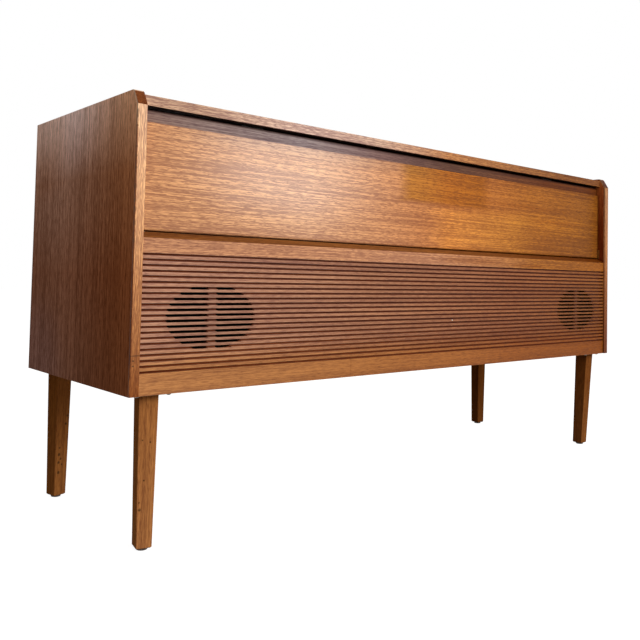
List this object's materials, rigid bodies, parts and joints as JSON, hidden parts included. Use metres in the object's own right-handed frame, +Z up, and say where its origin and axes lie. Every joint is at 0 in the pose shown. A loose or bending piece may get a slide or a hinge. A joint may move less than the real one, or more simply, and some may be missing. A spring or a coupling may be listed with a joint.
{
  "type": "radiogram",
  "caption": "Long, low teak radiogram on tapered legs: fall-front flap over a tuner, record deck and record bay, with speakers behind a grooved front.",
  "frame": {"origin": "on the floor, under the middle of the cabinet", "axes": "+X along the front towards the right as seen from the front, +Y from the front to the back, +Z up"},
  "size_m": [1.37, 0.412, 0.7],
  "materials": {
    "side_veneer": "oiled vertical-grain teak veneer, darkened with age",
    "lipping_teak": "pale solid teak edge lipping",
    "front_teak": "satin horizontal-grain teak",
    "dark_teak": "dark stained hardwood",
    "sill_teak": "oiled solid teak",
    "top_teak": "satin teak veneer",
    "leg_teak": "oiled solid teak",
    "carcase_board": "plain inner veneer and board",
    "hardboard": "brown hardboard",
    "black_steel": "black stove enamel",
    "grey_steel": "plated steel sheet",
    "cream_enamel": "cream hammer enamel",
    "bright_steel": "bright plating",
    "brass": "satin brass",
    "cast_alloy": "turned alloy",
    "screw_steel": "dull zinc plate",
    "magnet_steel": "bare ferrite and steel",
    "ivory_plastic": "ivory moulded plastic",
    "black_plastic": "black moulded plastic",
    "dial_print": "black dial plate with pale numbers",
    "dial_glass": "clear glass",
    "valve_glass": "clear glass with a silvered top",
    "pointer_red": "red pointer",
    "mat_rubber": "ribbed black rubber",
    "glide_rubber": "dark glide",
    "cloth": "black acoustic cloth",
    "cone_paper": "pulp cone"
  },
  "bodies": {
    "cabinet": {"side_left": "side_veneer", "side_right": "side_veneer", "lippings": "lipping_teak", "top_panel": "top_teak", "base_panel": "carcase_board", "front_grille": "front_teak", "sill_rail": "sill_teak", "compartment_floor": "carcase_board", "partition_left": "carcase_board", "partition_right": "carcase_board", "back_panel": "hardboard", "mains_inlet": "black_plastic", "wood_screws": "screw_steel", "pivot_plates": "brass", "stay_guides": "ivory_plastic", "magnetic_catches": "ivory_plastic", "leg_front_left": "leg_teak", "leg_front_right": "leg_teak", "leg_back_left": "leg_teak", "leg_back_right": "leg_teak", "leg_plates": "black_steel", "leg_bolts": "screw_steel", "leg_glides": "glide_rubber", "speaker_cloths": "cloth", "tuner_fascia": "cream_enamel", "tuner_chassis": "grey_steel", "dial_glass": "dial_glass", "dial_plate": "dial_print", "pointer_rail": "bright_steel", "potentiometers": "grey_steel", "mains_transformer": "black_steel", "valves": "valve_glass", "deck_plate": "cream_enamel", "deck_spindle": "bright_steel", "deck_motor": "grey_steel", "speaker_left_basket": "grey_steel", "speaker_left_cone": "cone_paper", "speaker_left_magnet": "magnet_steel", "speaker_right_basket": "grey_steel", "speaker_right_cone": "cone_paper", "speaker_right_magnet": "magnet_steel"},
    "flap": {"flap_panel": "front_teak", "flap_pull": "dark_teak", "flap_pivots": "bright_steel", "flap_stays": "brass", "catch_strikes": "screw_steel"},
    "tuning": {"tuning_knob": "ivory_plastic", "tuning_spindle": "bright_steel"},
    "pointer": {"dial_pointer": "pointer_red"},
    "volume": {"volume_knob": "ivory_plastic"},
    "tone": {"tone_knob": "ivory_plastic"},
    "platter": {"platter": "cast_alloy", "platter_mat": "mat_rubber"},
    "tonearm": {"tonearm": "ivory_plastic"},
    "overarm": {"overarm": "bright_steel"},
    "lever": {"control_lever": "ivory_plastic"},
    "gram_button": {"button_gram": "ivory_plastic"},
    "long_button": {"button_long": "ivory_plastic"},
    "medium_button": {"button_medium": "ivory_plastic"},
    "short_button": {"button_short": "ivory_plastic"}
  },
  "joints": [
    {"name": "flap_fall", "type": "hinge", "parent": "cabinet", "child": "flap", "pos_m": [0, -0.179, 0.4965], "axis": [1, 0, 0], "range_deg": [0, 90]},
    {"name": "tuning_turn", "type": "hinge", "parent": "cabinet", "child": "tuning", "pos_m": [-0.227, -0.13, 0.5505], "axis": [0, 1, 0], "range_deg": [-540, 540]},
    {"name": "pointer_slide", "type": "slide", "parent": "cabinet", "child": "pointer", "axis": [1, 0, 0], "range_m": [-0.109, 0.109]},
    {"name": "volume_turn", "type": "hinge", "parent": "cabinet", "child": "volume", "pos_m": [-0.587, -0.13, 0.5705], "axis": [0, 1, 0], "range_deg": [0, 300]},
    {"name": "tone_turn", "type": "hinge", "parent": "cabinet", "child": "tone", "pos_m": [-0.587, -0.13, 0.5045], "axis": [0, 1, 0], "range_deg": [0, 300]},
    {"name": "platter_spin", "type": "hinge", "parent": "cabinet", "child": "platter", "pos_m": [0.02, 0.014, 0.4975], "axis": [0, 0, -1], "continuous": true},
    {"name": "tonearm_swing", "type": "hinge", "parent": "cabinet", "child": "tonearm", "pos_m": [0.198, 0.119, 0.5225], "axis": [0, 0, -1], "range_deg": [0, 46]},
    {"name": "overarm_swing", "type": "hinge", "parent": "cabinet", "child": "overarm", "pos_m": [0.15, 0.142, 0.6045], "axis": [0, 0, 1], "range_deg": [0, 80]},
    {"name": "lever_swing", "type": "hinge", "parent": "cabinet", "child": "lever", "pos_m": [-0.072, -0.108, 0.4915], "axis": [0, 0, 1], "range_deg": [-30, 30]},
    {"name": "gram_press", "type": "slide", "parent": "cabinet", "child": "gram_button", "axis": [0, 1, 0], "range_m": [0, 0.005], "stiffness_N_per_m": 150},
    {"name": "long_press", "type": "slide", "parent": "cabinet", "child": "long_button", "axis": [0, 1, 0], "range_m": [0, 0.005], "stiffness_N_per_m": 150},
    {"name": "medium_press", "type": "slide", "parent": "cabinet", "child": "medium_button", "axis": [0, 1, 0], "range_m": [0, 0.005], "stiffness_N_per_m": 150},
    {"name": "short_press", "type": "slide", "parent": "cabinet", "child": "short_button", "axis": [0, 1, 0], "range_m": [0, 0.005], "stiffness_N_per_m": 150}
  ],
  "couplings": [
    {"joint": "pointer_slide", "follows": "tuning_turn", "m_per_rad": 0.0115}
  ]
}
